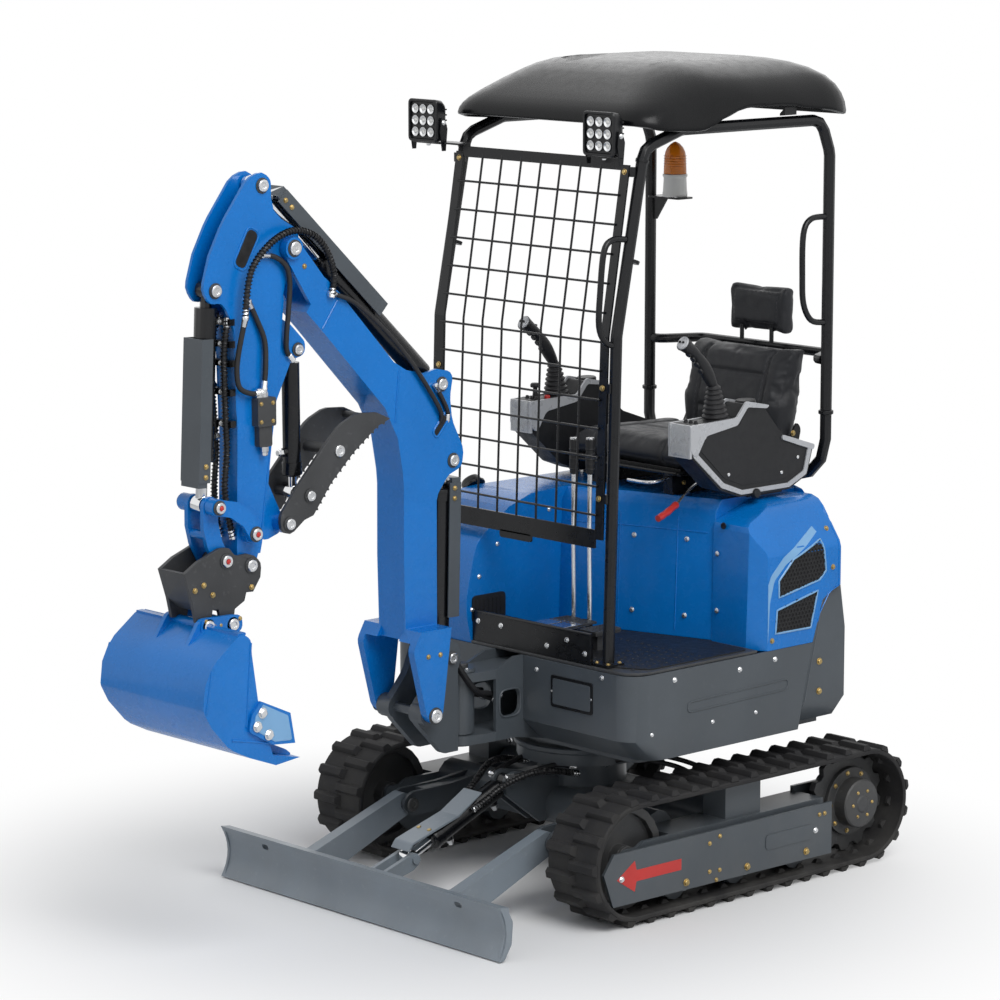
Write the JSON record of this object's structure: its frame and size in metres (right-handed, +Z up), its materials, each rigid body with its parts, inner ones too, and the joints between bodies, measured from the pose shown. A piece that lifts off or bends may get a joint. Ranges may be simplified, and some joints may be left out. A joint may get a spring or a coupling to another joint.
{
  "type": "mini excavator",
  "caption": "Small tracked excavator with a dozer blade, a swinging boom, arm, hitch, bucket and thumb, a driver's seat with arm consoles, and a tube canopy with a mesh front guard.",
  "frame": {"origin": "centre of the bottom of the bounding box at rest, on the ground under the machine", "axes": "-Y is the way the machine faces, towards the bucket and blade; +Z up; +X the driver's left"},
  "size_m": [1.078, 2.134, 2.13],
  "materials": {
    "blue_paint": "glossy",
    "grey_paint": "satin",
    "dark_steel": "satin",
    "black_paint": "satin",
    "track_rubber": "matt",
    "chrome": "polished",
    "cylinder_black": "glossy",
    "seat_vinyl": "matt",
    "moulded_black": "satin",
    "roof_black": "satin",
    "amber_lens": "glossy",
    "engine_alloy": "satin"
  },
  "bodies": {
    "chassis": {"chassis_frame": "grey_paint", "track_frame_left": "grey_paint", "track_frame_right": "grey_paint", "track_left": "track_rubber", "track_right": "track_rubber", "idler_left": "dark_steel", "idler_right": "dark_steel", "sprocket_left": "dark_steel", "sprocket_right": "dark_steel"},
    "blade_unit": {"blade": "grey_paint", "blade_arms": "grey_paint"},
    "blade_barrel": {"blade_cylinder_barrel": "cylinder_black"},
    "blade_rod": {"blade_cylinder_rod": "chrome"},
    "house": {"house_frame": "grey_paint", "skirt_left": "grey_paint", "skirt_right": "grey_paint", "counterweight": "grey_paint", "floor_plate": "dark_steel", "seat_base": "blue_paint", "right_hood": "blue_paint", "left_hood": "blue_paint", "rear_bonnet": "blue_paint", "engine_block": "engine_alloy", "canopy_left": "black_paint", "canopy_right": "black_paint", "canopy_rear_loop": "black_paint", "canopy_rear_bar": "black_paint", "canopy_roof": "roof_black", "mesh_guard": "black_paint", "work_light_left": "black_paint", "work_light_right": "black_paint", "beacon": "amber_lens", "seat_mount": "black_paint", "seat_cushion": "seat_vinyl", "seat_back": "seat_vinyl", "headrest": "seat_vinyl", "console_left": "moulded_black", "console_right": "moulded_black", "joystick_left": "moulded_black", "joystick_right": "moulded_black", "front_crossbar": "black_paint", "travel_levers": "chrome", "swing_pedal": "chrome"},
    "post": {"swing_post": "grey_paint"},
    "boom_body": {"boom": "blue_paint"},
    "boom_barrel": {"boom_cylinder_barrel": "cylinder_black"},
    "boom_rod": {"boom_cylinder_rod": "chrome"},
    "arm_body": {"arm": "blue_paint"},
    "arm_barrel": {"arm_cylinder_barrel": "cylinder_black"},
    "arm_rod": {"arm_cylinder_rod": "chrome"},
    "bucket_body": {"quick_hitch": "dark_steel", "bucket": "blue_paint"},
    "rocker": {"rocker_link_left": "blue_paint", "rocker_link_right": "blue_paint"},
    "link": {"bucket_link": "blue_paint"},
    "bucket_barrel": {"bucket_cylinder_barrel": "cylinder_black"},
    "bucket_rod": {"bucket_cylinder_rod": "chrome"},
    "thumb_body": {"thumb": "dark_steel"},
    "thumb_barrel": {"thumb_cylinder_barrel": "cylinder_black"},
    "thumb_rod": {"thumb_cylinder_rod": "chrome"}
  },
  "joints": [
    {"name": "slew", "type": "hinge", "parent": "chassis", "child": "house", "pos_m": [0, 0.36224, 0.335], "axis": [0, 0, 1], "continuous": true},
    {"name": "blade_lift", "type": "hinge", "parent": "chassis", "child": "blade_unit", "pos_m": [0, -0.02876, 0.183], "axis": [-1, 0, 0], "range_deg": [-12, 22]},
    {"name": "boom_swing", "type": "hinge", "parent": "house", "child": "post", "pos_m": [0, -0.07776, 0.495], "axis": [0, 0, 1], "range_deg": [-50, 60]},
    {"name": "boom_lift", "type": "hinge", "parent": "post", "child": "boom_body", "pos_m": [0, -0.25476, 0.515], "axis": [-1, 0, 0], "range_deg": [-60, 2]},
    {"name": "arm_crowd", "type": "hinge", "parent": "boom_body", "child": "arm_body", "pos_m": [0, -0.66176, 1.719], "axis": [1, 0, 0], "range_deg": [-95, 0]},
    {"name": "bucket_curl", "type": "hinge", "parent": "arm_body", "child": "bucket_body", "pos_m": [0, -0.79876, 0.962], "axis": [1, 0, 0], "range_deg": [-30, 99]},
    {"name": "thumb_fold", "type": "hinge", "parent": "arm_body", "child": "thumb_body", "pos_m": [0, -0.68976, 1.052], "axis": [1, 0, 0], "range_deg": [-95, 0]},
    {"name": "blade_barrel_turn", "type": "hinge", "parent": "chassis", "child": "blade_barrel", "pos_m": [0, 0.08524, 0.27], "axis": [-1, 0, 0], "range_deg": [-8.01, 14.27]},
    {"name": "blade_rod_slide", "type": "slide", "parent": "blade_barrel", "child": "blade_rod", "axis": [0, -0.9224, -0.3864], "range_m": [-0.01889, 0.01121]},
    {"name": "boom_barrel_turn", "type": "hinge", "parent": "post", "child": "boom_barrel", "pos_m": [0, -0.15476, 0.642], "axis": [-1, 0, 0], "range_deg": [-68.37, 2.76]},
    {"name": "boom_rod_slide", "type": "slide", "parent": "boom_barrel", "child": "boom_rod", "axis": [0, 0.0247, 0.9997], "range_m": [-0.00702, 0.15263]},
    {"name": "arm_barrel_turn", "type": "hinge", "parent": "boom_body", "child": "arm_barrel", "pos_m": [0, -0.18026, 1.344], "axis": [1, 0, 0], "range_deg": [-13.53, 0.5]},
    {"name": "arm_rod_slide", "type": "slide", "parent": "arm_barrel", "child": "arm_rod", "axis": [0, -0.7267, 0.687], "range_m": [-0.21307, 0.002]},
    {"name": "bucket_barrel_turn", "type": "hinge", "parent": "arm_body", "child": "bucket_barrel", "pos_m": [0, -0.88476, 1.631], "axis": [1, 0, 0], "range_deg": [-1.1, 2.48]},
    {"name": "bucket_rod_slide", "type": "slide", "parent": "bucket_barrel", "child": "bucket_rod", "axis": [0, -0.0447, -0.999], "range_m": [-0.04389, 0.14023]},
    {"name": "thumb_barrel_turn", "type": "hinge", "parent": "arm_body", "child": "thumb_barrel", "pos_m": [0, -0.62776, 1.469], "axis": [1, 0, 0], "range_deg": [-0.5, 1.71]},
    {"name": "thumb_rod_slide", "type": "slide", "parent": "thumb_barrel", "child": "thumb_rod", "axis": [0, 0.0085, -1], "range_m": [-0.002, 0.13551]},
    {"name": "rocker_turn", "type": "hinge", "parent": "arm_body", "child": "rocker", "pos_m": [0, -0.79476, 1.04], "axis": [1, 0, 0], "range_deg": [-20.6, 66.83]},
    {"name": "link_turn", "type": "hinge", "parent": "bucket_body", "child": "link", "pos_m": [0, -0.87476, 0.982], "axis": [1, 0, 0], "range_deg": [-65.84, 20.3]}
  ],
  "couplings": [
    {"joint": "blade_barrel_turn", "follows": "blade_lift", "ratio": 0.6261},
    {"joint": "blade_rod_slide", "follows": "blade_lift", "m_per_rad": -0.04399},
    {"joint": "boom_barrel_turn", "follows": "boom_lift", "ratio": 1.1312},
    {"joint": "boom_rod_slide", "follows": "boom_lift", "m_per_rad": -0.14384},
    {"joint": "arm_barrel_turn", "follows": "arm_crowd", "ratio": 0.1372},
    {"joint": "arm_rod_slide", "follows": "arm_crowd", "m_per_rad": 0.1273},
    {"joint": "bucket_barrel_turn", "follows": "bucket_curl", "ratio": 0.02},
    {"joint": "bucket_rod_slide", "follows": "bucket_curl", "m_per_rad": 0.08},
    {"joint": "thumb_barrel_turn", "follows": "thumb_fold", "ratio": -0.0127},
    {"joint": "thumb_rod_slide", "follows": "thumb_fold", "m_per_rad": -0.08052},
    {"joint": "rocker_turn", "follows": "bucket_curl", "ratio": 0.67},
    {"joint": "link_turn", "follows": "bucket_curl", "ratio": -0.66}
  ]
}
